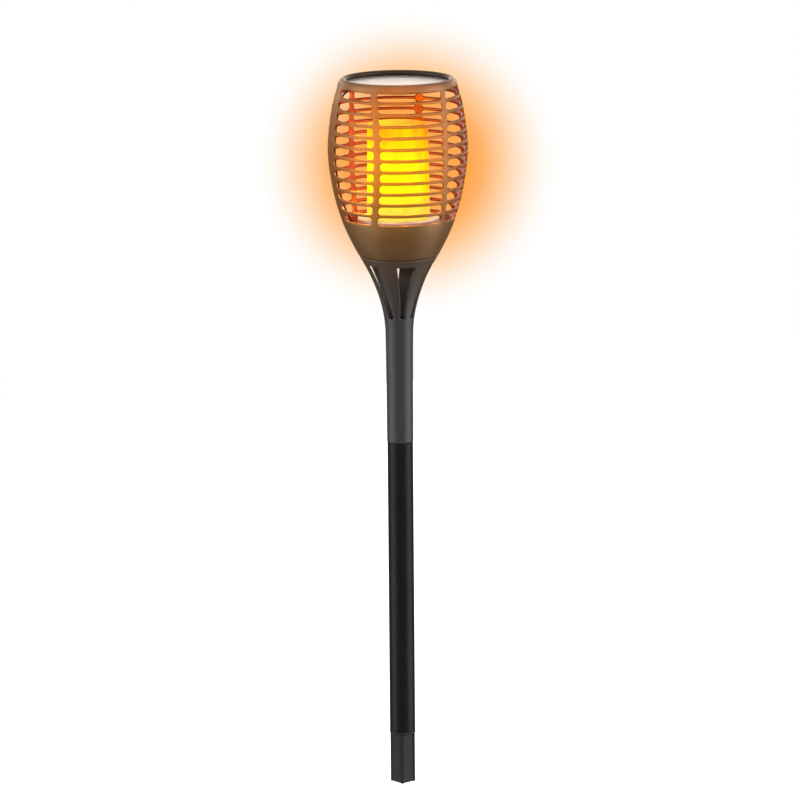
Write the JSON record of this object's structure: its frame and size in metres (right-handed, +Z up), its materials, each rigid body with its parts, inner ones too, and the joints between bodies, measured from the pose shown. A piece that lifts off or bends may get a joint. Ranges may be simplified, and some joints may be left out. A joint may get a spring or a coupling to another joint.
{
  "type": "solar flame torch",
  "caption": "Garden torch light with a slatted barrel head, solar panel lid, frosted flame lamp, flared slotted neck, straight tube pole and ground spike.",
  "frame": {"origin": "on the torch's axis at the ground line, 622 mm below the head's lip and 158 mm above the spike's tip", "axes": "+Z up along the pole, -Y towards the front of the head, +X to the right"},
  "size_m": [0.1198, 0.12, 0.78],
  "materials": {
    "bronze_paint": "satin metallic bronze paint on moulded plastic",
    "black_plastic": "fine moulded texture",
    "grey_plastic": "dark grey satin moulding",
    "satin_black": "satin black",
    "black_rubber": "matt",
    "solar_cell": "dark blue cells",
    "clear_cover": "clear cover",
    "lead_sleeve": "smooth sleeve",
    "frosted_flame": "frosted, lit from inside",
    "white_plastic": "smooth white moulding",
    "circuit_board": "solder mask",
    "plated_steel": "zinc plated",
    "cell_wrap": "plain shrink sleeve"
  },
  "bodies": {
    "spike": {"ground_spike": "satin_black"},
    "pole": {"pole_tube": "satin_black", "pole_spigot": "black_plastic"},
    "neck": {"neck_funnel": "grey_plastic"},
    "head": {"cage_front": "bronze_paint", "cage_back": "bronze_paint", "panel_tray": "black_plastic", "panel_gasket": "black_rubber", "solar_cells": "solar_cell", "panel_cover": "clear_cover", "panel_lead": "lead_sleeve", "flame_diffuser": "frosted_flame", "led_former": "white_plastic", "led_board": "circuit_board", "lamp_base": "white_plastic", "control_board": "circuit_board", "board_lead": "lead_sleeve", "base_plate": "black_plastic", "battery_cell": "cell_wrap", "battery_contact": "plated_steel", "battery_spring": "plated_steel", "battery_lead_positive": "lead_sleeve", "battery_lead_negative": "lead_sleeve", "battery_cover": "black_plastic", "cover_screw_1": "plated_steel", "cover_screw_2": "plated_steel", "base_screw_1": "plated_steel", "base_screw_2": "plated_steel", "base_screw_3": "plated_steel", "switch_body": "black_plastic", "switch_lead": "lead_sleeve"},
    "button": {"switch_button": "black_rubber"}
  },
  "joints": [
    {"name": "pole_pull", "type": "slide", "parent": "spike", "child": "pole", "axis": [0, 0, 1], "range_m": [0, 0.045]},
    {"name": "neck_pull", "type": "slide", "parent": "pole", "child": "neck", "axis": [0, 0, 1], "range_m": [0, 0.055]},
    {"name": "head_lift", "type": "slide", "parent": "neck", "child": "head", "axis": [0, 0, 1], "range_m": [0, 0.02]},
    {"name": "button_press", "type": "slide", "parent": "head", "child": "button", "axis": [0, 0, 1], "range_m": [0, 0.0015], "stiffness_N_per_m": 400}
  ]
}
